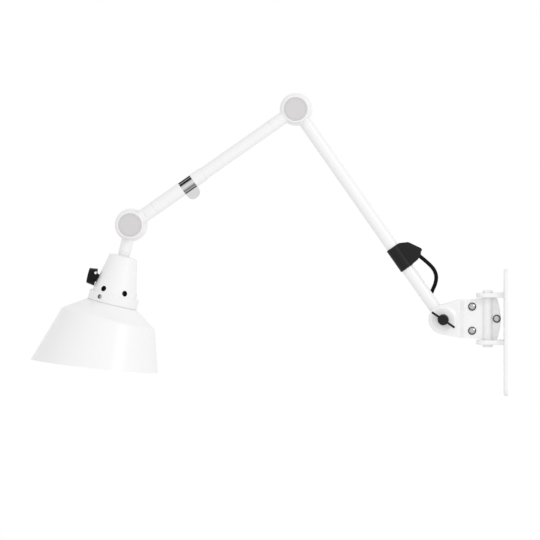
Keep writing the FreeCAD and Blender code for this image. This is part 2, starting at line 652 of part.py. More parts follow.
def sleeve_liners():
    inner = UPPER_TUBE_R + RUNNING
    first = pipe(LINER_R, inner, LINER_LENGTH, UPPER_AXIS + X * (SLEEVE_START + 0.5), X)
    after = CLIP_AT + CLIP_LENGTH / 2 + 1
    second = pipe(LINER_R, inner, LINER_LENGTH, UPPER_AXIS + X * after, X)
    return Part.makeCompound([first, second])


def sleeve_clip():
    """A sprung band round the arm in the sleeve's window, its two ends closed into a tab."""
    inner = UPPER_TUBE_R + RUNNING
    start = UPPER_AXIS + X * (CLIP_AT - CLIP_LENGTH / 2)
    band = pipe(inner + CLIP_THICK, inner, CLIP_LENGTH, start, X)
    behind = box((0, UPPER_AXIS_Y + SLEEVE_R * 0.55 - GAP, -30), (UPPER_LENGTH, 20, 30))
    band = band.cut(behind)
    half = CLIP_LENGTH / 2
    points = [V(CLIP_AT - half, 0, inner + CLIP_THICK / 2), V(CLIP_AT - half, 0, CLIP_TAB_DROP),
              V(CLIP_AT + half, 0, CLIP_TAB_DROP), V(CLIP_AT + half, 0, inner + CLIP_THICK / 2)]
    tab = rounded_face(points, [0, 8.5, 8.5, 0]).extrude(V(0, 2 * CLIP_THICK, 0))
    tab.translate(V(0, UPPER_AXIS_Y - CLIP_THICK, 0))
    return band.fuse(tab).removeSplitter()


# ---------------------------------------------------------------- head, about its own -Z
def cone_r(along):
    slope = (HOUSING_BOTTOM_R - HOUSING_TOP_R) / (HOUSING_BOTTOM - HOUSING_TOP)
    return HOUSING_TOP_R + (along - HOUSING_TOP) * slope


def around(azimuth):
    """The unit vector that stands out from the head's axis, 0 to the front, 90 to the right."""
    turn = math.radians(azimuth)
    return V(math.sin(turn), -math.cos(turn), 0)


def head_place(shape):
    return placed(shape, HEAD_TILT, HEAD)


def stem_shell():
    """The rear half of the head joint, its stub turned down as the lamp head's stem."""
    shell = rear_shell(STEM_R, STEM_END, STEM_R, STEM_END, WIRE_BORE_R + 1)
    outside = 2 * STEM_R
    groove = pipe(outside, STEM_R - STEM_GROOVE_DEPTH, STEM_GROOVE_WIDTH, X * STEM_GROOVE_AT, X)
    shell = shell.cut(groove)
    shell.rotate(ORIGIN, Y, 90)
    return shell


def swivel_nipple():
    start = STEM_END - 9
    stem_bore = WIRE_BORE_R + 1
    nipple = cylinder(stem_bore - TOUCH, NIPPLE_LENGTH, -Z * start, -Z)
    return nipple.cut(cylinder(3.2, NIPPLE_LENGTH + 2, -Z * (start - 1), -Z))


def swivel_nut():
    base = HOUSING_TOP + HOUSING_WALL + 2 * TOUCH
    nut = Part.makeCylinder(NUT_R + 0.5, 4.5, -Z * base, -Z)
    return nut.cut(cylinder(WIRE_BORE_R + 1 + TOUCH, 8, -Z * (base - 1), -Z))


def swivel_bush():
    low = STEM_END + TOUCH
    return pipe(BUSH_R, WIRE_BORE_R + 1 + RUNNING, HOUSING_TOP - low - TOUCH, -Z * (HOUSING_TOP - TOUCH), Z)


def housing():
    collar_bore = COLLAR_R - COLLAR_WALL
    skirt_end = COLLAR_BOTTOM - 2
    outer = [(0, -HOUSING_TOP), (cone_r(HOUSING_TOP), -HOUSING_TOP), (cone_r(HOUSING_BOTTOM), -HOUSING_BOTTOM),
             (collar_bore - TOUCH, -COLLAR_TOP), (collar_bore - TOUCH, -skirt_end), (0, -skirt_end)]
    inner = [(0, -HOUSING_TOP - HOUSING_WALL),
             (cone_r(HOUSING_TOP) - HOUSING_WALL, -HOUSING_TOP - HOUSING_WALL),
             (cone_r(HOUSING_BOTTOM) - HOUSING_WALL - 0.4, -HOUSING_BOTTOM),
             (collar_bore - HOUSING_WALL, -COLLAR_TOP),
             (collar_bore - HOUSING_WALL, -skirt_end - 1), (0, -skirt_end - 1)]
    shell = revolved(outer, [0, HOUSING_ROUND, 0, 0, 0, 0], ORIGIN, Z)
    shell = shell.cut(revolved(inner, [0, HOUSING_ROUND - HOUSING_WALL, 0, 0, 0, 0], ORIGIN, Z))
    shell = shell.cut(cylinder(WIRE_BORE_R + 1 + RUNNING, 20, -Z * (HOUSING_TOP - 5), -Z))
    for k in range(VENT_COUNT):
        out = around(-30 + 360 / VENT_COUNT * k)
        shell = shell.cut(cylinder(VENT_R, 20, out * (HOUSING_BOTTOM_R - 10) - Z * VENT_AT, out))
    neck = around(-90)
    shell = shell.cut(cylinder(SWITCH_NECK_R - 1, 20, neck * 18 - Z * KNOB_AT, neck))
    for azimuth in COLLAR_SCREWS:
        out = around(azimuth)
        hole = cylinder(COLLAR_SCREW_SHANK_R + TOUCH, 10, out * (collar_bore - 5) - Z * COLLAR_SCREW_AT, out)
        shell = shell.cut(hole)
    return shell.removeSplitter()


def collar():
    height = COLLAR_BOTTOM - COLLAR_TOP
    profile = [(COLLAR_R - COLLAR_WALL, -COLLAR_TOP), (COLLAR_R, -COLLAR_TOP),
               (COLLAR_R, -COLLAR_TOP - height), (COLLAR_R - COLLAR_WALL, -COLLAR_TOP - height)]
    ring = revolved(profile, [0, 0.8, 0.8, 0], ORIGIN, Z)
    for azimuth in COLLAR_SCREWS:
        out = around(azimuth)
        hole = cylinder(COLLAR_SCREW_SHANK_R + TOUCH, 10, out * (COLLAR_R - 8) - Z * COLLAR_SCREW_AT, out)
        ring = ring.cut(hole)
    return ring


def collar_screws():
    screws = []
    for azimuth in COLLAR_SCREWS:
        out = around(azimuth)
        seat = out * (COLLAR_R + TOUCH) - Z * COLLAR_SCREW_AT
        shank = COLLAR_WALL + HOUSING_WALL
        screws.append(headed_pin(COLLAR_SCREW_R, COLLAR_SCREW_H, COLLAR_SCREW_SHANK_R, shank, seat, out))
    return Part.makeCompound(screws)


def skirt_r(along):
    return SHADE_SHOULDER_R + (along - SHADE_SHOULDER) * math.tan(math.radians(SHADE_SKIRT_ANGLE))


def rim_cut():
    """Everything below the slanting rim plane."""
    left, right = V(-RIM_LEFT_REACH, 0, -RIM_LEFT), V(RIM_RIGHT_REACH, 0, -RIM_RIGHT)
    along = (right - left).normalize()
    corners = [left - along * 60, right + along * 60,
               right + along * 60 - Z * 120, left - along * 60 - Z * 120]
    face = Part.Face(Part.makePolygon(corners + corners[:1]))
    face.translate(V(0, -FAR, 0))
    return face.extrude(V(0, 2 * FAR, 0))


def shade():
    neck_r = COLLAR_R - COLLAR_WALL - HOUSING_WALL - GAP
    wall = SHADE_WALL
    neck_top = SHADE_TOP - SHADE_NECK_RISE
    lean = math.atan2(SHADE_SHOULDER - SHADE_TOP, SHADE_SHOULDER_R - SHADE_TOP_R)
    skirt = math.radians(90 - SHADE_SKIRT_ANGLE)
    inset = wall * math.tan((skirt - lean) / 2)
    shoulder_in = V(SHADE_SHOULDER_R, 0, -SHADE_SHOULDER)
    shoulder_in += V(-math.sin(lean), 0, -math.cos(lean)) * wall
    shoulder_in += V(-math.cos(lean), 0, math.sin(lean)) * inset
    end = SHADE_LIMIT
    thick = wall / math.sin(skirt)
    profile = [(neck_r - wall, -neck_top), (neck_r, -neck_top), (neck_r, -SHADE_TOP),
               (SHADE_TOP_R, -SHADE_TOP), (SHADE_SHOULDER_R, -SHADE_SHOULDER), (skirt_r(end), -end),
               (skirt_r(end) - thick, -end), (shoulder_in.x, shoulder_in.z),
               (SHADE_TOP_R - 0.4, -SHADE_TOP - wall), (neck_r - wall, -SHADE_TOP - wall)]
    shell = revolved(profile, [0, 0, 0, 3, 5, 0, 0, 3.8, 1.8, 0], ORIGIN, Z)
    return shell.cut(rim_cut())


def lamp_holder():
    outer = [(0, -HOLDER_TOP), (HOLDER_R - 4, -HOLDER_TOP), (HOLDER_R, -HOLDER_TOP - 8),
             (HOLDER_R, -HOLDER_TOP - HOLDER_LENGTH), (0, -HOLDER_TOP - HOLDER_LENGTH)]
    body = revolved(outer, [0, 2, 4, 1.5, 0], ORIGIN, Z)
    bore = HOLDER_LENGTH - HOLDER_FLOOR + 1
    return body.cut(cylinder(HOLDER_BORE_R, bore, -Z * (HOLDER_TOP + HOLDER_FLOOR), -Z)).removeSplitter()


def holder_strap():
    """The cross strap that carries the lamp holder inside the housing."""
    top = HOLDER_TOP - STRAP_THICK - TOUCH
    reach = cone_r(top) - HOUSING_WALL - 0.35
    strap = box((-STRAP_WIDTH / 2, -reach, -top - STRAP_THICK), (STRAP_WIDTH / 2, reach, -top))
    strap = strap.common(cylinder(reach, 2 * STRAP_THICK, -Z * (top + STRAP_THICK), Z))
    return strap.cut(cylinder(4, 10, -Z * (top + 5), Z))


LEFT = -X
KNOB_AXIS = -Z * KNOB_AT


def switch_face():
    """From the head's axis to the switch body's outer face, its corners clear of the housing."""
    reach = cone_r(KNOB_AT - SWITCH_SIZE / 2) - HOUSING_WALL - 3 * GAP
    return math.sqrt(reach ** 2 - (SWITCH_SIZE / 2) ** 2)


def switch_body():
    outer = switch_face()
    low = V(-outer, -SWITCH_SIZE / 2, -KNOB_AT - SWITCH_SIZE / 2)
    body = Part.makeBox(SWITCH_DEPTH, SWITCH_SIZE, SWITCH_SIZE, low)
    return body.cut(cylinder(SPINDLE_R + RUNNING, 30, KNOB_AXIS - X * (outer - 6), LEFT))


def switch_bush():
    """The threaded neck of the switch, through the housing, with its ring nut outside."""
    start = switch_face() + TOUCH
    reach = KNOB_START - GAP
    body = cylinder(SWITCH_NECK_R - 1 - TOUCH, reach - start, KNOB_AXIS - X * start, LEFT)
    face = cone_r(KNOB_AT + SWITCH_NECK_R) + TOUCH
    body = body.fuse(cylinder(SWITCH_NECK_R, reach - face, KNOB_AXIS - X * face, LEFT))
    return body.cut(cylinder(SPINDLE_R + RUNNING, 30, KNOB_AXIS - X * 10, LEFT)).removeSplitter()


def switch_spindle():
    start = switch_face() - 5
    return cylinder(SPINDLE_R, KNOB_END - 3 - start, KNOB_AXIS - X * start, LEFT)


def switch_knob():
    base = KNOB_AXIS - X * KNOB_START
    body = Part.makeCone(KNOB_BASE_R, KNOB_TIP_R, KNOB_END - KNOB_START, base, LEFT)
    rim = [e for e in body.Edges if abs(e.BoundBox.XMin + KNOB_END) < 1e-4 and e.BoundBox.ZLength > KNOB_TIP_R]
    body = body.makeFillet(0.8, rim)
    recess = Part.makeCylinder(KNOB_BASE_R - KNOB_SKIRT, 2.0, base, LEFT)
    hub = cylinder(SPINDLE_R + 2.4, 3, base, LEFT)
    body = body.cut(recess).fuse(hub)
    spindle = cylinder(SPINDLE_R + TOUCH, KNOB_END - 3 - KNOB_START + TOUCH, base, LEFT)
    body = body.cut(spindle)
    return body.cut(knob_dot(TOUCH)).removeSplitter()


def knob_dot(extra=0.0):
    """A round index set flush into the knob's skirt, towards the front and above."""
    out = V(0, -math.cos(math.radians(31)), math.sin(math.radians(31)))
    start = KNOB_AXIS - X * (KNOB_START + KNOB_DOT_AT)
    dot = cylinder(KNOB_DOT_R + extra, 2 * KNOB_BASE_R, start + out * (KNOB_BASE_R - 1.4 - extra), out)
    if extra:
        return dot
    body = Part.makeCone(KNOB_BASE_R, KNOB_TIP_R, KNOB_END - KNOB_START, KNOB_AXIS - X * KNOB_START, LEFT)
    return dot.common(body)


# ---------------------------------------------------------------- lead and its hood
def lead(route):
    """A round tube along straight runs joined by arcs as large as the runs allow."""
    points = [V(*p) for p in route]
    edges, start, radii = [], points[0], []
    for before, corner, after in zip(points, points[1:], points[2:]):
        to_before, to_after = before - corner, after - corner
        shorter = min(to_before.Length, to_after.Length)
        half_turn = (math.pi - to_before.getAngle(to_after)) / 2
        radius = 0.45 * shorter / math.tan(half_turn)
        radii.append(radius)
        cut = 0.45 * shorter
        first = corner + to_before.normalize() * cut
        last = corner + to_after.normalize() * cut
        toward = (to_before + to_after).normalize()
        middle = corner + toward * (radius / math.cos(half_turn) - radius)
        edges.append(Part.LineSegment(start, first).toShape())
        edges.append(Part.Arc(first, middle, last).toShape())
        start = last
    edges.append(Part.LineSegment(start, points[-1]).toShape())
    path = Part.Wire(edges)
    circle = Part.Wire([Part.Circle(points[0], points[1] - points[0], LEAD_R).toShape()])
    tube = path.makePipeShell([circle], True, False)
    share = tube.Volume / (math.pi * LEAD_R ** 2 * path.Length)
    print("lead radii", [round(r, 1) for r in radii], f"length {path.Length:.1f} volume share {share:.4f}")
    return tube


def lead_cut(tube, away):
    """A length of lead cut at the clip, on the plane that halves the bend there."""
    joint = V(*LOOP_ROUTE[-1])
    arriving, leaving = joint - V(*LOOP_ROUTE[-2]), V(*TAIL_ROUTE[1]) - joint
    along = (arriving.normalize() + leaving.normalize()).normalize() * away
    return tube.cut(cylinder(4 * LEAD_R, 4 * LEAD_R, joint - along * LEAD_CUT_GAP, along))


def cable_hood():
    """The moulded hood that saddles the lower arm; its nose lets the lead out towards the wall."""
    outer_r = TUBE_R + HOOD_WALL
    saddle = cylinder(outer_r, HOOD_END - HOOD_START, X * HOOD_START, X)
    points = [V(HOOD_START, 0, -5), V(HOOD_END, 0, -5), V(HOOD_END - 0.5, 0, -11.5),
              V(HOOD_END - 6.5, 0, -22.5), V(100.6, 0, -32.6), V(97.4, 0, -31.8), V(97.2, 0, -29.6),
              V(93.0, 0, -26.6), V(90.2, 0, -19.0)]
    nose = rounded_face(points, [0, 0, 0, 7, 1.2, 0.8, 2, 3, 4]).extrude(V(0, HOOD_NOSE_THICK, 0))
    nose.translate(V(0, -HOOD_NOSE_THICK / 2, 0))
    body = saddle.fuse(nose)
    return body.cut(cylinder(TUBE_R + TOUCH, 2 * HOOD_END, ORIGIN, X))


def lower_place(shape):
    return placed(shape, LOWER_TURN, PIVOT)


def upper_place(shape):
    return placed(shape, UPPER_TURN, ELBOW)


def upper_from_head(shape):
    """Front shell of the head joint: its fitting points back along the upper arm."""
    return placed(shape, UPPER_TURN + 180, HEAD)


def main():
    os.makedirs("parts", exist_ok=True)
    export("wall_plate", wall_plate())
    export("hinge_pin", hinge_pin())
    export("hinge_washers", hinge_washers())
    export("wall_grommet", wall_grommet())
    export("bracket_front_plate", leaf(-1))
    export("bracket_rear_plate", leaf(1))
    export("bracket_rivets", bracket_rivets())
    export("shoulder_bolt", shoulder_bolt())
    export("friction_washers", friction_washers())
    export("lead_clip", lead_clip())
    export("wing_nut", wing_nut())
    export("shoulder_eye", lower_place(shoulder_eye()))
    export("lower_tube", lower_place(lower_tube()))
    elbow_rear = placed(rear_shell(TUBE_R, STUB_END, TUBE_BORE - TOUCH, STUB_END + SPIGOT_LENGTH,
                                   WIRE_BORE_R), LOWER_TURN + 180, ELBOW)
    export("elbow_rear_shell", elbow_rear)
    hood = lower_place(cable_hood())
    start, second = V(*LOOP_ROUTE[0]), V(*LOOP_ROUTE[1])
    hood = hood.cut(cylinder(LEAD_R + TOUCH, 40, start, (second - start).normalize()))
    export("cable_hood", hood)
    export("lead_loop", lead_cut(lead(LOOP_ROUTE), 1))
    export("lead_tail", lead_cut(lead(TAIL_ROUTE), -1))
    export("elbow_bolt", upper_place(pivot_bolt()))
    export("elbow_spring_washer", upper_place(spring_washer()))
    export("elbow_nut", upper_place(pivot_nut()))
    export("elbow_friction_disc", upper_place(friction_disc()))
    export("elbow_front_shell", upper_place(front_shell(UPPER_TUBE_R, ELBOW_SEAM,
                                                        UPPER_TUBE_R - TUBE_WALL - TOUCH,
                                                        ELBOW_MARK_AT)))
    export("elbow_cap", upper_place(joint_cap()))
    export("upper_tube", upper_place(upper_tube()))
    export("swivel_sleeve", upper_place(swivel_sleeve()))
    export("sleeve_liners", upper_place(sleeve_liners()))
    export("sleeve_clip", upper_place(sleeve_clip()))
    export("head_front_shell", upper_from_head(front_shell(SLEEVE_R - 0.2, HEAD_SEAM, SLEEVE_BORE - TOUCH,
                                                             HEAD_MARK_AT)))
    export("head_cap", upper_from_head(joint_cap()))
    export("head_bolt", upper_from_head(pivot_bolt()))
    export("head_spring_washer", upper_from_head(spring_washer()))
    export("head_nut", upper_from_head(pivot_nut()))
    export("head_friction_disc", upper_from_head(friction_disc()))
    export("stem_shell", head_place(stem_shell()))
    export("swivel_nipple", head_place(swivel_nipple()))
    export("swivel_nut", head_place(swivel_nut()))
    export("swivel_bush", head_place(swivel_bush()))
    export("housing", head_place(housing()))
    export("collar", head_place(collar()))
    export("collar_screws", head_place(collar_screws()))
    export("shade", head_place(shade()))
    export("lamp_holder", head_place(lamp_holder()))
    export("holder_strap", head_place(holder_strap()))
    export("switch_body", head_place(switch_body()))
    export("switch_bush", head_place(switch_bush()))
    export("switch_spindle", head_place(switch_spindle()))
    export("switch_knob", head_place(switch_knob()))
    export("knob_dot", head_place(knob_dot()))


main()
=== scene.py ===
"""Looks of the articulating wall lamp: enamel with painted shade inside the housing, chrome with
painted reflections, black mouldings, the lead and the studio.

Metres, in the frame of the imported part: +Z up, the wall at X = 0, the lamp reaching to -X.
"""

import math

import bmesh
import bpy
from bpy.props import FloatProperty, FloatVectorProperty, IntProperty, PointerProperty
from bpy.types import Operator, Panel, PropertyGroup
from mathutils import Matrix, Vector


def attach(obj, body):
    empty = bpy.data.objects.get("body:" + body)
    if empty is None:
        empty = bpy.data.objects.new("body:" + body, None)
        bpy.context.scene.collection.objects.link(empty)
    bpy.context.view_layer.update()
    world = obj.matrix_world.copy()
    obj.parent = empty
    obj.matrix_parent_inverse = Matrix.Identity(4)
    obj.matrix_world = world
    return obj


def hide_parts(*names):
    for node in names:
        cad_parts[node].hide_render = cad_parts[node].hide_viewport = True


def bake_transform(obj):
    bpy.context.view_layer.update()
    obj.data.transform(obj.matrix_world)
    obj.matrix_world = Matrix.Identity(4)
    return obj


bl_info = {
    "name": "Articulating wall lamp",
    "version": (1, 0, 0),
    "blender": (4, 5, 0),
    "location": "View3D > Sidebar > Wall lamp",
    "description": "Finishes, fine pieces and studio for the articulating wall lamp",
    "category": "Object",
}

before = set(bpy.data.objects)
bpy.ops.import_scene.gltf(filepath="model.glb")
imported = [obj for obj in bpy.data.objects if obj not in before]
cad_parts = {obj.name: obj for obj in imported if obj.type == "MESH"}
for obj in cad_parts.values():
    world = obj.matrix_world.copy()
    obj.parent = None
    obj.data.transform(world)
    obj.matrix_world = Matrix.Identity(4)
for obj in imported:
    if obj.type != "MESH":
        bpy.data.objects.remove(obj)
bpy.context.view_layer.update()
MM = 0.001

# The lead's control points in millimetres, as in the part's source: from the hood to the clip,
# and from the clip to the wall.
LOOP_ROUTE = [(-130.0, 0, 112.4), (-108.4, 0.5, 95.5), (-100.8, 3.5, 82.3), (-101.9, 8.5, 69.3),
              (-108.5, 13.5, 55.9), (-110.2, 18.0, 41.8), (-104.4, 21.5, 29.0), (-92.0, 22.8, 21.4),
              (-77.5, 19.8, 20.4), (-64.9, 14.4, 24.4), (-54.4, 10.6, 28.9)]
TAIL_ROUTE = [(-54.4, 10.6, 28.9), (-46.3, 10.2, 32.7), (-37.7, 15.0, 38.4), (-29.1, 20.9, 46.0),
              (-19.1, 23.7, 51.6), (-9.1, 24.0, 52.9), (-0.8, 24.0, 52.9)]
LEAD_ORDER = 3
LEAD_RESOLUTION = 12
WELD_DISTANCE = 1e-6
TUBE_SHARP_FROM = math.radians(40)

# The CAD nodes that share a finish.
ENAMEL_NODES = ["wall_plate", "hinge_pin", "bracket_front_plate", "bracket_rear_plate",
                "shoulder_eye", "lower_tube", "elbow_rear_shell", "elbow_front_shell",
                "upper_tube", "swivel_sleeve", "head_front_shell", "stem_shell", "collar"]
CAP_NODES = ["elbow_cap", "head_cap"]
STEEL_NODES = ["shoulder_bolt", "lead_clip", "elbow_bolt", "elbow_nut", "elbow_spring_washer",
               "head_bolt", "head_nut", "head_spring_washer", "holder_strap"]
BRASS_NODES = ["swivel_nipple", "swivel_nut", "switch_spindle"]
NYLON_NODES = ["hinge_washers", "sleeve_liners", "swivel_bush"]
FIBRE_NODES = ["friction_washers", "elbow_friction_disc", "head_friction_disc"]
MOULDED_NODES = ["cable_hood", "wing_nut", "switch_body", "switch_bush"]

# The head's pivot and axis, and the housing's inner cone, inside which the housing is painted
# near black as shade. Lengths are in millimetres, and distances along the axis run from the pivot.
HEAD_PIVOT = Vector((-534.46, 0, 152.33)) * MM
HEAD_LEAN = math.radians(13.65)
HEAD_AXIS = Vector((-math.sin(HEAD_LEAN), 0, -math.cos(HEAD_LEAN)))
HOUSING_TOP = 45.6
HOUSING_TOP_RADIUS = 20.0
HOUSING_SLOPE = 12.0 / 55.8
HOUSING_SKIN = 0.45
HOUSING_INSIDE_FROM = 50.0
HOUSING_PAINTED_SHADE_CONE = {
    "Origin": HEAD_PIVOT,
    "Axis": HEAD_AXIS,
    "Radius": (HOUSING_TOP_RADIUS - HOUSING_TOP * HOUSING_SLOPE - HOUSING_SKIN) * MM,
    "Slope": HOUSING_SLOPE,
    "Start": HOUSING_INSIDE_FROM * MM,
}
SLEEVE_SIDES = 64
SLEEVE_SHARP_FROM = math.radians(35)

# Bands of painted reflection: the share of a plating's light tone, from face-on at 0 to edge-on at
# 1.
CLIP_PAINTED_REFLECTION_BANDS = ((0, 1), (0.03, 0.8), (0.06, 0.5), (0.095, 0), (0.275, 0), (0.30, 1), (0.325, 1),
              (0.35, 0), (0.75, 0), (1, 0.6))
RIVET_PAINTED_REFLECTION_BANDS = ((0, 1), (0.08, 0.9), (0.12, 0.55), (0.17, 0), (0.30, 0), (0.34, 0.6), (0.40, 0),
               (0.75, 0.3), (1, 0.6))

# The finishes whose colours have no setting.
FIXED_FINISHES = {
    # Near black of the sleeve that paints shade behind the housing's vents.
    "blackened": dict(colour=(0.02, 0.02, 0.021), rough=(0.3, 0.4), drift=0.2,
                      height=0.000002, grain=900.0),
    "steel": dict(colour=(0.52, 0.53, 0.55), rough=(0.28, 0.42), drift=0.08,
                  height=0.00001, grain=900.0, metallic=1.0),
    "brass": dict(colour=(0.72, 0.53, 0.25), rough=(0.25, 0.4), drift=0.08,
                  height=0.00001, grain=900.0, metallic=1.0),
    "nylon": dict(colour=(0.83, 0.83, 0.82), rough=(0.4, 0.5), drift=0.03,
                  height=0.00001, grain=700.0),
    "fibre": dict(colour=(0.13, 0.09, 0.06), rough=(0.7, 0.85), drift=0.25,
                  height=0.00005, grain=1200.0),
    "porcelain": dict(colour=(0.8, 0.79, 0.75), rough=(0.12, 0.2), drift=0.02,
                      height=0.00001, grain=300.0, Coat_Weight=0.5, Coat_Roughness=0.05),
    # White of the dot on the switch knob.
    "index": dict(colour=(0.85, 0.85, 0.83), rough=(0.45, 0.55), drift=0.02,
                  height=0.00001, grain=700.0),
}

# Socket numbers of the Mix node, whose inputs share their names.
COLOUR_A, COLOUR_B, COLOUR_OUT = 6, 7, 2
VALUE_A, VALUE_B, VALUE_OUT = 2, 3, 0

WHITE = (1, 1, 1, 1)
SENSOR_WIDTH = 36.0
CLIP_END = 100
FLOOR_SIDES = 96
FLOOR_TONE = (0.92, 0.92, 0.92, 1)
# The floor's own glow, which grows with the distance from its middle until its edge is lost in
# the background.
GLOW_FROM = 0.3
GLOW_IN_MIDDLE = 0.5
GLOW_AT_EDGE = 1.0
# Name, offset from the aim, width, setting that holds its power, and whether gloss shows it.
LAMPS = (("key_lamp", (2.35, -2.15, 1.45), 1.0, "key_power", True),
         ("front_lamp", (0.2, -3.3, 0.5), 1.8, "front_power", False))


# ---------------------------------------------------------------- settings
class FinishSettings(PropertyGroup):
    """Colours of the finishes, with painted reflection tones for the plating and painted shade
    inside the housing, and the ripple of the enamel
    """
    enamel: FloatVectorProperty(
        name="Enamel", description="Colour of the arms, bracket and housing", subtype="COLOR",
        size=3, min=0, max=1, default=(0.879, 0.879, 0.879))
    shade_enamel: FloatVectorProperty(
        name="Shade enamel", description="Colour of the shade, outside and in", subtype="COLOR",
        size=3, min=0, max=1, default=(0.893, 0.893, 0.893))
    cap: FloatVectorProperty(
        name="Joint cap", description="Colour of the round joint caps", subtype="COLOR",
        size=3, min=0, max=1, default=(0.634, 0.618, 0.622))
    moulded: FloatVectorProperty(
        name="Black moulding", description="Colour of the hood, the wing nut and the switch",
        subtype="COLOR", size=3, min=0, max=1, default=(0.012, 0.012, 0.013))
    knob: FloatVectorProperty(
        name="Knob black", description="Colour of the switch knob", subtype="COLOR",
        size=3, min=0, max=1, default=(0.006, 0.006, 0.0065))
    rubber: FloatVectorProperty(
        name="Lead rubber", description="Colour of the lead's sheath", subtype="COLOR",
        size=3, min=0, max=1, default=(0.005, 0.005, 0.0055))
    # The plating tones below are painted reflections: the dark tones stand for darker surroundings
    # that the metal would mirror, and the under tone for what the clip mirrors where it faces down.
    rivet: FloatVectorProperty(
        name="Rivets", description="Light tone of the rivets' plating", subtype="COLOR",
        size=3, min=0, max=1, default=(0.54, 0.54, 0.545))
    clip: FloatVectorProperty(
        name="Sleeve clip", description="Light tone of the sleeve clip's plating", subtype="COLOR",
        size=3, min=0, max=1, default=(0.69, 0.69, 0.69))
    clip_painted_under_reflection: FloatVectorProperty(
        name="Sleeve clip, under", description="Tone of the clip's plating where it faces down",
        subtype="COLOR", size=3, min=0, max=1, default=(0.24, 0.24, 0.245))
    rivet_painted_dark_reflection: FloatVectorProperty(
        name="Rivets, dark", description="Dark tone of the rivets' and collar screws' plating",
        subtype="COLOR", size=3, min=0, max=1, default=(0.06, 0.06, 0.062))
    clip_painted_dark_reflection: FloatVectorProperty(
        name="Sleeve clip, dark", description="Dark tone of the sleeve clip's plating",
        subtype="COLOR", size=3, min=0, max=1, default=(0.012, 0.012, 0.013))
    screw: FloatVectorProperty(
        name="Collar screws", description="Light tone of the collar screws' plating",
        subtype="COLOR", size=3, min=0, max=1, default=(0.40, 0.40, 0.405))
    # Painted shade: the housing's inner face and the cut edges of its vents are coloured near black
    # for the shade inside.
    housing_painted_shade: FloatVectorProperty(
        name="Housing inside", description="Colour of the housing's inner face", subtype="COLOR",
        size=3, min=0, max=1, default=(0.008, 0.008, 0.008))
    peel_size: FloatProperty(
        name="Enamel ripple", description="Size of the enamel's fine ripple", unit="LENGTH",
        min=0.0001, default=0.0016)
    peel_height: FloatProperty(
        name="Ripple height", description="Height of the enamel's fine ripple", unit="LENGTH",
        min=0, default=0.0000013)


class PaintedVentShadeSettings(PropertyGroup):
    """Size and place of the dark sleeve round the lamp holder, put there as painted shade behind
    the housing's vents
    """
    radius: FloatProperty(
        name="Sleeve radius", description="Outer radius of the dark sleeve round the lamp holder",
        unit="LENGTH", min=0.02, default=0.025)
    wall: FloatProperty(
        name="Sleeve wall", description="Thickness of the sleeve's wall", unit="LENGTH",
        min=0.0002, default=0.0008)
    start: FloatProperty(
        name="Sleeve start", description="Distance of the sleeve's top edge from the head's pivot",
        unit="LENGTH", default=0.0932)
    length: FloatProperty(
        name="Sleeve length", description="Length of the sleeve along the head's axis",
        unit="LENGTH", min=0.002, default=0.0105)


class LeadSettings(PropertyGroup):
    """Section and lengths of the lead"""
    diameter: FloatProperty(
        name="Lead diameter", description="Outer diameter of the lead", unit="LENGTH",
        min=0.002, default=0.0056)
    sides: IntProperty(
        name="Sides", description="Sides of the lead's round section", min=8, default=24)
    loop_length: FloatProperty(
        name="Loop length", description="Length of lead from the hood to its clip", unit="LENGTH",
        min=0.05, default=0.155)
    tail_length: FloatProperty(
        name="Tail length", description="Length of lead from its clip to the wall", unit="LENGTH",
        min=0.03, default=0.063)


class StudioSettings(PropertyGroup):
    """Camera, light and floor"""
    turn: FloatProperty(
        name="View turn", description="How far right of square-on the camera stands",
        subtype="ANGLE", default=0.030)
    rise: FloatProperty(
        name="View rise", description="How far above level the camera stands", subtype="ANGLE",
        default=0.015)
    distance: FloatProperty(
        name="Distance", description="From the camera to the lamp", unit="LENGTH", min=1,
        default=7.1)
    frame_width: FloatProperty(
        name="Frame width", description="Width that the picture takes in at the lamp",
        unit="LENGTH", min=0.1, default=0.7668)
    aim: FloatVectorProperty(
        name="Aim", description="Point at the middle of the picture", unit="LENGTH", size=3,
        default=(-0.3372, 0.0, 0.0883))
    key_power: FloatProperty(
        name="Key light", description="Power of the large lamp at the upper right",
        subtype="POWER", min=0, default=18)
    front_power: FloatProperty(
        name="Front light", description="Power of the broad lamp in front of the wall lamp",
        subtype="POWER", min=0, default=13)
    fill_level: FloatProperty(
        name="Fill level", description="Brightness of the light from all round", min=0,
        default=0.83)
    floor_drop: FloatProperty(
        name="Floor drop", description="How far the floor is below the wall plate's middle",
        unit="LENGTH", min=0.2, default=0.78)
    floor_radius: FloatProperty(
        name="Floor radius", description="Radius of the floor", unit="LENGTH", min=0.5, default=2.0)


# ---------------------------------------------------------------- materials
def new_group(name, inputs, outputs):
    """An empty node group with its sockets, and its input and output nodes."""
    group = bpy.data.node_groups.new(name, "ShaderNodeTree")
    for label, kind, value in inputs:
        socket = group.interface.new_socket(label, in_out="INPUT", socket_type=kind)
        socket.default_value = value
    for label, kind in outputs:
        group.interface.new_socket(label, in_out="OUTPUT", socket_type=kind)
    entry = group.nodes.new("NodeGroupInput")
    leave = group.nodes.new("NodeGroupOutput")
    return group, entry, leave


def add(tree, kind, **settings):
    """A new node of the kind, with the settings as its attributes."""
    node = tree.nodes.new(kind)
    for key, value in settings.items():
        setattr(node, key, value)
    return node


def mixed(tree, share, first, second):
    """A Mix Shader node that runs from the first node's shader to the second's."""
    node = add(tree, "ShaderNodeMixShader")
    tree.links.new(share, node.inputs[0])
    tree.links.new(first.outputs[0], node.inputs[1])
    tree.links.new(second.outputs[0], node.inputs[2])
    return node


def noise(tree, detail, scale=None):
    """A noise texture. Without a scale, a link gives it one."""
    node = add(tree, "ShaderNodeTexNoise")
    node.inputs["Detail"].default_value = detail
    if scale is not None:
        node.inputs["Scale"].default_value = scale
    return node


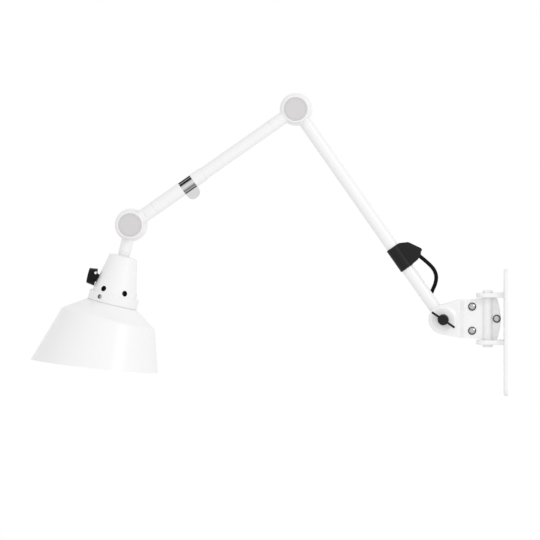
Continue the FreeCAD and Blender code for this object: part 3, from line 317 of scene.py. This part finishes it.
def ripple_group():
    """Fine ripple and faint tone drift of a sprayed or moulded surface, on object coordinates."""
    group, entry, leave = new_group(
        "surface_ripple",
        [("Scale", "NodeSocketFloat", 600.0),
         ("Tone A", "NodeSocketColor", (0.8, 0.8, 0.8, 1)),
         ("Tone B", "NodeSocketColor", (0.85, 0.85, 0.85, 1)),
         ("Rough A", "NodeSocketFloat", 0.3),
         ("Rough B", "NodeSocketFloat", 0.4),
         ("Height", "NodeSocketFloat", 0.00001)],
        [("Color", "NodeSocketColor"),
         ("Roughness", "NodeSocketFloat"),
         ("Normal", "NodeSocketVector")])
    place = add(group, "ShaderNodeTexCoord")
    fine = noise(group, detail=2.0)
    broad = noise(group, detail=3.0, scale=14.0)
    middle = noise(group, detail=4.0, scale=90.0)
    tone = add(group, "ShaderNodeMix", data_type="RGBA")
    rough = add(group, "ShaderNodeMix", data_type="FLOAT")
    bump = add(group, "ShaderNodeBump")
    bump.inputs["Strength"].default_value = 1.0
    link = group.links.new
    for texture in (fine, broad, middle):
        link(place.outputs["Object"], texture.inputs["Vector"])
    link(entry.outputs["Scale"], fine.inputs["Scale"])
    link(broad.outputs["Fac"], tone.inputs["Factor"])
    link(entry.outputs["Tone A"], tone.inputs[COLOUR_A])
    link(entry.outputs["Tone B"], tone.inputs[COLOUR_B])
    link(middle.outputs["Fac"], rough.inputs["Factor"])
    link(entry.outputs["Rough A"], rough.inputs[VALUE_A])
    link(entry.outputs["Rough B"], rough.inputs[VALUE_B])
    link(fine.outputs["Fac"], bump.inputs["Height"])
    link(entry.outputs["Height"], bump.inputs["Distance"])
    link(tone.outputs[COLOUR_OUT], leave.inputs["Color"])
    link(rough.outputs[VALUE_OUT], leave.inputs["Roughness"])
    link(bump.outputs["Normal"], leave.inputs["Normal"])
    return group


def shifted(colour, share):
    """The colour made lighter or darker by a share, with full alpha."""
    return tuple(min(1.0, c * share) for c in colour) + (1.0,)


def surface(name, colour, rough, drift=0.03, height=0.00001, grain=600.0, metallic=0.0, **sockets):
    """A material whose tone, roughness and ripple come from the shared ripple group.

    drift is how far its tone strays, height how deep its ripple is in metres, and grain how
    many ripples it has to a metre. Other settings go to the shader's own sockets.
    """
    material = bpy.data.materials.new(name)
    material.use_nodes = True
    tree = material.node_tree
    shader = tree.nodes["Principled BSDF"]
    ripple = add(tree, "ShaderNodeGroup")
    ripple.node_tree = bpy.data.node_groups["surface_ripple"]
    ripple.inputs["Scale"].default_value = grain
    ripple.inputs["Tone A"].default_value = shifted(colour, 1 - drift)
    ripple.inputs["Tone B"].default_value = shifted(colour, 1 + drift)
    ripple.inputs["Rough A"].default_value = rough[0]
    ripple.inputs["Rough B"].default_value = rough[1]
    ripple.inputs["Height"].default_value = height
    tree.links.new(ripple.outputs["Color"], shader.inputs["Base Color"])
    tree.links.new(ripple.outputs["Roughness"], shader.inputs["Roughness"])
    tree.links.new(ripple.outputs["Normal"], shader.inputs["Normal"])
    shader.inputs["Metallic"].default_value = metallic
    for label, value in sockets.items():
        shader.inputs[label.replace("_", " ")].default_value = value
    return material


def painted_reflection_plating(name, light, dark, under, bands):
    """Bright plating whose base colour carries painted reflections, in bands from face-on to
    edge-on.

    Where it faces down, the painted bands run to the under tone in place of the dark one.
    """
    material = surface(name, light, rough=(0.08, 0.14), height=0.000002, grain=500.0, metallic=1.0)
    tree = material.node_tree
    shader = tree.nodes["Principled BSDF"]
    even = shader.inputs["Base Color"].links[0].from_socket
    shape = add(tree, "ShaderNodeNewGeometry")
    turn = add(tree, "ShaderNodeLayerWeight")
    turn.inputs["Blend"].default_value = 0.5
    ramp = add(tree, "ShaderNodeValToRGB")
    stops = ramp.color_ramp.elements
    (_, first), *inner, (_, last) = bands
    stops[0].color = (first, first, first, 1)
    stops[1].color = (last, last, last, 1)
    for place, share in inner:
        stops.new(place).color = (share, share, share, 1)
    part = add(tree, "ShaderNodeSeparateXYZ")
    upward = add(tree, "ShaderNodeMath", operation="GREATER_THAN")
    upward.inputs[1].default_value = 0.0
    # Painted reflection: the under tone where the plating faces down, the dark tone where it faces
    # up.
    shadow = add(tree, "ShaderNodeMix", data_type="RGBA")
    shadow.inputs[COLOUR_A].default_value = (*under, 1)
    shadow.inputs[COLOUR_B].default_value = (*dark, 1)
    tone = add(tree, "ShaderNodeMix", data_type="RGBA")
    link = tree.links.new
    link(shape.outputs["True Normal"], turn.inputs["Normal"])
    link(turn.outputs["Facing"], ramp.inputs["Fac"])
    link(ramp.outputs["Color"], tone.inputs["Factor"])
    link(shape.outputs["True Normal"], part.inputs["Vector"])
    link(part.outputs["Z"], upward.inputs[0])
    link(upward.outputs["Value"], shadow.inputs["Factor"])
    link(shadow.outputs[COLOUR_OUT], tone.inputs[COLOUR_A])
    link(even, tone.inputs[COLOUR_B])
    link(tone.outputs[COLOUR_OUT], shader.inputs["Base Color"])
    return material


def cone_inside_group():
    """1 inside a cone and past its start, 0 elsewhere, on object coordinates.

    Radius is the cone's radius at the origin, and Slope is what it gains along the axis.
    """
    group, entry, leave = new_group(
        "cone_inside",
        [("Origin", "NodeSocketVector", (0, 0, 0)),
         ("Axis", "NodeSocketVector", (0, 0, 1)),
         ("Radius", "NodeSocketFloat", 0.02),
         ("Slope", "NodeSocketFloat", 0.2),
         ("Start", "NodeSocketFloat", 0.0)],
        [("Inside", "NodeSocketFloat")])
    place = add(group, "ShaderNodeTexCoord")
    reach = add(group, "ShaderNodeVectorMath", operation="SUBTRACT")
    along = add(group, "ShaderNodeVectorMath", operation="DOT_PRODUCT")
    across = add(group, "ShaderNodeVectorMath", operation="CROSS_PRODUCT")
    radius = add(group, "ShaderNodeVectorMath", operation="LENGTH")
    wall = add(group, "ShaderNodeMath", operation="MULTIPLY_ADD")
    inside = add(group, "ShaderNodeMath", operation="LESS_THAN")
    below = add(group, "ShaderNodeMath", operation="GREATER_THAN")
    both = add(group, "ShaderNodeMath", operation="MULTIPLY")
    link = group.links.new
    link(place.outputs["Object"], reach.inputs[0])
    link(entry.outputs["Origin"], reach.inputs[1])
    for node in (along, across):
        link(reach.outputs["Vector"], node.inputs[0])
        link(entry.outputs["Axis"], node.inputs[1])
    link(across.outputs["Vector"], radius.inputs[0])
    link(along.outputs["Value"], wall.inputs[0])
    link(entry.outputs["Slope"], wall.inputs[1])
    link(entry.outputs["Radius"], wall.inputs[2])
    link(radius.outputs["Value"], inside.inputs[0])
    link(wall.outputs["Value"], inside.inputs[1])
    link(along.outputs["Value"], below.inputs[0])
    link(entry.outputs["Start"], below.inputs[1])
    link(inside.outputs["Value"], both.inputs[0])
    link(below.outputs["Value"], both.inputs[1])
    link(both.outputs["Value"], leave.inputs["Inside"])
    return group


def with_painted_shade_inside(name, outer, inside, cone):
    """The outer finish with a near-black inner face as painted shade, parted by a cone just under
    the outer surface.
    """
    material = outer.copy()
    material.name = name
    tree = material.node_tree
    if "cone_inside" not in bpy.data.node_groups:
        cone_inside_group()
    mask = add(tree, "ShaderNodeGroup")
    mask.node_tree = bpy.data.node_groups["cone_inside"]
    for label, value in cone.items():
        mask.inputs[label].default_value = value
    inner_painted_shade = add(tree, "ShaderNodeBsdfPrincipled")
    inner_painted_shade.inputs["Base Color"].default_value = (*inside, 1)
    inner_painted_shade.inputs["Roughness"].default_value = 0.8
    inner_painted_shade.inputs["Specular IOR Level"].default_value = 0.1
    blend = mixed(tree, mask.outputs["Inside"], tree.nodes["Principled BSDF"], inner_painted_shade)
    tree.links.new(blend.outputs[0], tree.nodes["Material Output"].inputs["Surface"])
    return material


def finishes(scene):
    """Every finish of the lamp, made once and kept by name."""
    if "surface_ripple" not in bpy.data.node_groups:
        ripple_group()
    s = scene.lamp_finish
    sprayed = {"height": s.peel_height, "grain": 1 / s.peel_size}
    coloured = {
        "enamel": dict(colour=s.enamel, rough=(0.32, 0.42), drift=0.008, **sprayed,
                       Specular_IOR_Level=0.42, Coat_Weight=0.22, Coat_Roughness=0.16),
        "shade": dict(colour=s.shade_enamel, rough=(0.29, 0.38), drift=0.008, **sprayed,
                      Specular_IOR_Level=0.32, Coat_Weight=0.18, Coat_Roughness=0.2),
        "cap": dict(colour=s.cap, rough=(0.42, 0.5), drift=0.015, **sprayed),
        "moulded": dict(colour=s.moulded, rough=(0.38, 0.5), drift=0.2,
                        height=0.00002, grain=900.0, Specular_IOR_Level=0.17),
        "knob": dict(colour=s.knob, rough=(0.22, 0.3), drift=0.2,
                     height=0.00001, grain=700.0, Specular_IOR_Level=0.12),
        "rubber": dict(colour=s.rubber, rough=(0.45, 0.6), drift=0.2,
                       height=0.00002, grain=1500.0, Specular_IOR_Level=0.08),
    }
    # Platings whose base colour paints reflections in bands by facing, and on the clip a lighter
    # tone where it faces down.
    painted_reflection_finishes = {
        "rivet": dict(light=s.rivet, dark=s.rivet_painted_dark_reflection, under=s.rivet_painted_dark_reflection, bands=RIVET_PAINTED_REFLECTION_BANDS),
        "clip": dict(light=s.clip, dark=s.clip_painted_dark_reflection, under=s.clip_painted_under_reflection, bands=CLIP_PAINTED_REFLECTION_BANDS),
        "screw": dict(light=s.screw, dark=s.rivet_painted_dark_reflection, under=s.rivet_painted_dark_reflection, bands=RIVET_PAINTED_REFLECTION_BANDS),
    }
    made = {}
    for make, group in ((surface, coloured), (painted_reflection_plating, painted_reflection_finishes), (surface, FIXED_FINISHES)):
        for key, settings in group.items():
            name = "finish_" + key
            made[key] = bpy.data.materials.get(name) or make(name, **settings)
    return made


def floor_paper(centre, radius):
    """Pale paper with a glow that only the camera sees, and see-through from below."""
    material = bpy.data.materials.new("floor_paper")
    material.use_nodes = True
    tree = material.node_tree
    paper = tree.nodes["Principled BSDF"]
    paper.inputs["Base Color"].default_value = FLOOR_TONE
    paper.inputs["Roughness"].default_value = 0.9
    glow = add(tree, "ShaderNodeEmission")
    clear = add(tree, "ShaderNodeBsdfTransparent")
    path = add(tree, "ShaderNodeLightPath")
    shape = add(tree, "ShaderNodeNewGeometry")
    place = add(tree, "ShaderNodeTexCoord")
    reach = add(tree, "ShaderNodeVectorMath", operation="DISTANCE")
    reach.inputs[1].default_value = centre
    fade = add(tree, "ShaderNodeMapRange")
    fade.inputs["From Min"].default_value = GLOW_FROM
    fade.inputs["From Max"].default_value = radius
    fade.inputs["To Min"].default_value = GLOW_IN_MIDDLE
    fade.inputs["To Max"].default_value = GLOW_AT_EDGE
    share = add(tree, "ShaderNodeMath", operation="MULTIPLY")
    below = add(tree, "ShaderNodeMath", operation="MULTIPLY")
    link = tree.links.new
    link(place.outputs["Object"], reach.inputs[0])
    link(reach.outputs["Value"], fade.inputs["Value"])
    link(fade.outputs["Result"], share.inputs[0])
    link(path.outputs["Is Camera Ray"], share.inputs[1])
    link(path.outputs["Is Camera Ray"], below.inputs[0])
    link(shape.outputs["Backfacing"], below.inputs[1])
    lit = mixed(tree, share.outputs["Value"], paper, glow)
    seen = mixed(tree, below.outputs["Value"], lit, clear)
    link(seen.outputs[0], tree.nodes["Material Output"].inputs["Surface"])
    return material


def paint(nodes, material):
    """Give the CAD nodes the material, in place of any that they have."""
    for name in nodes:
        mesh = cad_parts[name].data
        mesh.materials.clear()
        mesh.materials.append(material)


# ---------------------------------------------------------------- mesh helpers
def linked(name, data):
    """A new object of the data, in the scene."""
    made = bpy.data.objects.new(name, data)
    bpy.context.scene.collection.objects.link(made)
    return made


def as_mesh(name, bm):
    """A mesh of what the bmesh holds. The bmesh is freed."""
    mesh = bpy.data.meshes.new(name)
    bm.to_mesh(mesh)
    bm.free()
    return mesh


def mesh_of_curve(curve):
    """The curve's mesh, with its bevel if it has one."""
    holder = linked("curve_reader", curve)
    bpy.context.view_layer.update()
    mesh = bpy.data.meshes.new_from_object(holder)
    bpy.data.objects.remove(holder)
    return mesh


def read_spline(curve):
    """Points of an unbevelled curve, in order."""
    mesh = mesh_of_curve(curve)
    points = [v.co.copy() for v in mesh.vertices]
    bpy.data.meshes.remove(mesh)
    return points


def lead_curve(name, route):
    """An unbevelled curve through the route's control points, which are in millimetres."""
    curve = bpy.data.curves.new(name, "CURVE")
    curve.dimensions = "3D"
    spline = curve.splines.new("NURBS")
    spline.points.add(len(route) - 1)
    for point, place in zip(spline.points, route):
        point.co = (*[c * MM for c in place], 1)
    spline.order_u = LEAD_ORDER
    spline.use_endpoint_u = True
    spline.resolution_u = LEAD_RESOLUTION
    return curve


def tube_along(name, curve, radius, sides, material):
    """A closed tube on the curve's own line, as a mesh at the origin."""
    curve.bevel_depth = radius
    # The resolution is the number of corners inside each quarter of the section.
    curve.bevel_resolution = sides // 4 - 1
    curve.use_fill_caps = True
    mesh = mesh_of_curve(curve)
    mesh.name = name
    bm = bmesh.new()
    bm.from_mesh(mesh)
    bmesh.ops.remove_doubles(bm, verts=bm.verts, dist=WELD_DISTANCE)
    bmesh.ops.recalc_face_normals(bm, faces=bm.faces)
    bm.to_mesh(mesh)
    bm.free()
    mesh.materials.clear()
    mesh.materials.append(material)
    mesh.set_sharp_from_angle(angle=TUBE_SHARP_FROM)
    return linked(name, mesh)


# ---------------------------------------------------------------- pieces
class LAMP_OT_enamel(Operator):
    """Give the arms, bracket, wall plate and housing their white enamel, and the housing's inside
    painted shade
    """
    bl_idname = "lamp.enamel"
    bl_label = "Enamelled metal"

    def execute(self, context):
        made = finishes(context.scene)
        paint(ENAMEL_NODES, made["enamel"])
        # The housing's inner face and vent edges are painted near black as shade.
        inside = context.scene.lamp_finish.housing_painted_shade
        housing = with_painted_shade_inside("finish_housing", made["enamel"], inside, HOUSING_PAINTED_SHADE_CONE)
        paint(["housing"], housing)
        paint(CAP_NODES, made["cap"])
        return {"FINISHED"}


class LAMP_OT_hardware(Operator):
    """Give the rivets, screws, bolts, washers and bushes their metals, the plated ones with painted
    reflections
    """
    bl_idname = "lamp.hardware"
    bl_label = "Hardware"

    def execute(self, context):
        made = finishes(context.scene)
        # The rivets, sleeve clip and collar screws get plating with painted reflections.
        paint(["bracket_rivets"], made["rivet"])
        paint(["sleeve_clip"], made["clip"])
        paint(STEEL_NODES, made["steel"])
        paint(["collar_screws"], made["screw"])
        paint(BRASS_NODES, made["brass"])
        paint(NYLON_NODES, made["nylon"])
        paint(FIBRE_NODES, made["fibre"])
        return {"FINISHED"}


class LAMP_OT_mouldings(Operator):
    """Give the hood, the wing nut and the switch their black mouldings"""
    bl_idname = "lamp.mouldings"
    bl_label = "Black mouldings"

    def execute(self, context):
        made = finishes(context.scene)
        paint(MOULDED_NODES, made["moulded"])
        paint(["switch_knob"], made["knob"])
        paint(["knob_dot"], made["index"])
        paint(["wall_grommet"], made["nylon"])
        return {"FINISHED"}


class LAMP_OT_shade(Operator):
    """Give the shade its enamel and the lamp holder its porcelain"""
    bl_idname = "lamp.shade"
    bl_label = "Shade and lamp holder"

    def execute(self, context):
        made = finishes(context.scene)
        paint(["shade"], made["shade"])
        paint(["lamp_holder"], made["porcelain"])
        return {"FINISHED"}


class LAMP_OT_painted_vent_shade(Operator):
    """Make the dark sleeve round the lamp holder, which paints shade behind the housing's vents"""
    bl_idname = "lamp.sleeve"
    bl_label = "Holder sleeve"

    def execute(self, context):
        s = context.scene.lamp_sleeve
        bm = bmesh.new()
        bmesh.ops.create_circle(bm, segments=SLEEVE_SIDES, radius=s.radius)
        drawn = bmesh.ops.extrude_edge_only(bm, edges=bm.edges[:])["geom"]
        lower = [v for v in drawn if isinstance(v, bmesh.types.BMVert)]
        bmesh.ops.translate(bm, verts=lower, vec=(0, 0, s.length))
        bmesh.ops.recalc_face_normals(bm, faces=bm.faces)
        bmesh.ops.solidify(bm, geom=bm.faces[:], thickness=s.wall)
        bmesh.ops.recalc_face_normals(bm, faces=bm.faces)
        turn = HEAD_AXIS.to_track_quat("Z", "Y").to_matrix().to_4x4()
        place = Matrix.Translation(HEAD_PIVOT + HEAD_AXIS * s.start) @ turn
        bmesh.ops.transform(bm, matrix=place, verts=bm.verts)
        mesh = as_mesh("holder_sleeve", bm)
        # The sleeve is near black, as painted shade seen through the vents.
        mesh.materials.append(finishes(context.scene)["blackened"])
        mesh.set_sharp_from_angle(angle=SLEEVE_SHARP_FROM)
        sleeve = linked("holder_sleeve", mesh)
        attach(sleeve, "head")
        return {"FINISHED"}


class LAMP_OT_lead(Operator):
    """Lay the black lead from the hood to its clip and on to the wall"""
    bl_idname = "lamp.lead"
    bl_label = "Lead"

    def execute(self, context):
        s = context.scene.lamp_lead
        rubber = finishes(context.scene)["rubber"]
        stretches = (
            ("lead_loop_sheath", "lead_loop", LOOP_ROUTE, s.loop_length, "lower_arm", "bracket"),
            ("lead_tail_sheath", "lead_tail", TAIL_ROUTE, s.tail_length, "bracket", "wall"))
        for name, node, route, length, near, far in stretches:
            curve = lead_curve(name, route)
            path = read_spline(curve)
            tube = tube_along(name, curve, s.diameter / 2, s.sides, rubber)
            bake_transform(tube)
            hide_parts(node)
        return {"FINISHED"}


class LAMP_OT_studio(Operator):
    """Set up the pale floor, the soft light and the camera"""
    bl_idname = "lamp.studio"
    bl_label = "Studio"

    def execute(self, context):
        s = context.scene.lamp_studio
        self.background(context.scene, s)
        self.floor(s)
        self.lamps(s)
        self.camera(context.scene, s)
        context.scene.view_settings.view_transform = "Standard"
        return {"FINISHED"}

    def background(self, scene, s):
        """Plain white to the camera and in reflections, and dimmer as a light"""
        world = bpy.data.worlds.new("studio_air")
        world.use_nodes = True
        scene.world = world
        tree = world.node_tree
        fill = tree.nodes["Background"]
        fill.inputs["Color"].default_value = WHITE
        fill.inputs["Strength"].default_value = s.fill_level
        white = add(tree, "ShaderNodeBackground")
        white.inputs["Strength"].default_value = 1.0
        white.inputs["Color"].default_value = WHITE
        path = add(tree, "ShaderNodeLightPath")
        sharp = add(tree, "ShaderNodeMath", operation="MAXIMUM")
        seen = add(tree, "ShaderNodeMath", operation="MAXIMUM")
        tree.links.new(path.outputs["Is Glossy Ray"], sharp.inputs[0])
        tree.links.new(path.outputs["Is Transmission Ray"], sharp.inputs[1])
        tree.links.new(path.outputs["Is Camera Ray"], seen.inputs[0])
        tree.links.new(sharp.outputs[0], seen.inputs[1])
        choose = mixed(tree, seen.outputs[0], fill, white)
        tree.links.new(choose.outputs[0], tree.nodes["World Output"].inputs["Surface"])

    def floor(self, s):
        """A round sheet of pale paper well below the lamp"""
        centre = (s.aim[0], 0, -s.floor_drop)
        bm = bmesh.new()
        bmesh.ops.create_circle(bm, cap_ends=True, segments=FLOOR_SIDES, radius=s.floor_radius,
                                matrix=Matrix.Translation(centre))
        mesh = as_mesh("floor", bm)
        mesh.materials.append(floor_paper(centre, s.floor_radius))
        linked("floor", mesh)

    def lamps(self, s):
        """The area lamps, each turned towards the aim"""
        for name, offset, width, power, in_gloss in LAMPS:
            data = bpy.data.lights.new(name, "AREA")
            data.size = width
            data.energy = getattr(s, power)
            lamp = linked(name, data)
            lamp.location = Vector(s.aim) + Vector(offset)
            lamp.rotation_mode = "QUATERNION"
            lamp.rotation_quaternion = Vector(offset).to_track_quat("Z", "Y")
            lamp.visible_glossy = in_gloss

    def camera(self, scene, s):
        """A long lens, so that the lamp is drawn almost without perspective"""
        data = bpy.data.cameras.new("photo_camera")
        data.sensor_width = SENSOR_WIDTH
        data.lens = data.sensor_width * s.distance / s.frame_width
        data.clip_end = CLIP_END
        back = Vector((math.sin(s.turn) * math.cos(s.rise),
                       -math.cos(s.turn) * math.cos(s.rise),
                       math.sin(s.rise)))
        camera = linked("photo_camera", data)
        camera.location = Vector(s.aim) + back * s.distance
        camera.rotation_mode = "QUATERNION"
        camera.rotation_quaternion = back.to_track_quat("Z", "Y")
        scene.camera = camera


class LAMP_PT_panel(Panel):
    """The settings, and a button for each group of pieces in the order that they are made"""
    bl_label = "Wall lamp"
    bl_space_type = "VIEW_3D"
    bl_region_type = "UI"
    bl_category = "Wall lamp"

    def draw(self, context):
        for name, _ in SETTINGS:
            group = getattr(context.scene, name)
            box = self.layout.box()
            for key in group.__annotations__:
                box.prop(group, key)
        for operator in OPERATORS:
            self.layout.operator(operator.bl_idname)


SETTINGS = (("lamp_finish", FinishSettings), ("lamp_sleeve", PaintedVentShadeSettings),
            ("lamp_lead", LeadSettings), ("lamp_studio", StudioSettings))
OPERATORS = (LAMP_OT_enamel, LAMP_OT_hardware, LAMP_OT_mouldings, LAMP_OT_shade, LAMP_OT_painted_vent_shade,
             LAMP_OT_lead, LAMP_OT_studio)


def register():
    for name, group in SETTINGS:
        bpy.utils.register_class(group)
        setattr(bpy.types.Scene, name, PointerProperty(type=group))
    for operator in OPERATORS:
        bpy.utils.register_class(operator)
    bpy.utils.register_class(LAMP_PT_panel)


def unregister():
    bpy.utils.unregister_class(LAMP_PT_panel)
    for operator in reversed(OPERATORS):
        bpy.utils.unregister_class(operator)
    for name, group in reversed(SETTINGS):
        delattr(bpy.types.Scene, name)
        bpy.utils.unregister_class(group)


def main():
    """Make every piece."""
    register()
    bpy.ops.lamp.enamel()
    bpy.ops.lamp.hardware()
    bpy.ops.lamp.mouldings()
    bpy.ops.lamp.shade()
    bpy.ops.lamp.sleeve()
    bpy.ops.lamp.lead()
    bpy.ops.lamp.studio()


if __name__ == "__main__":
    main()
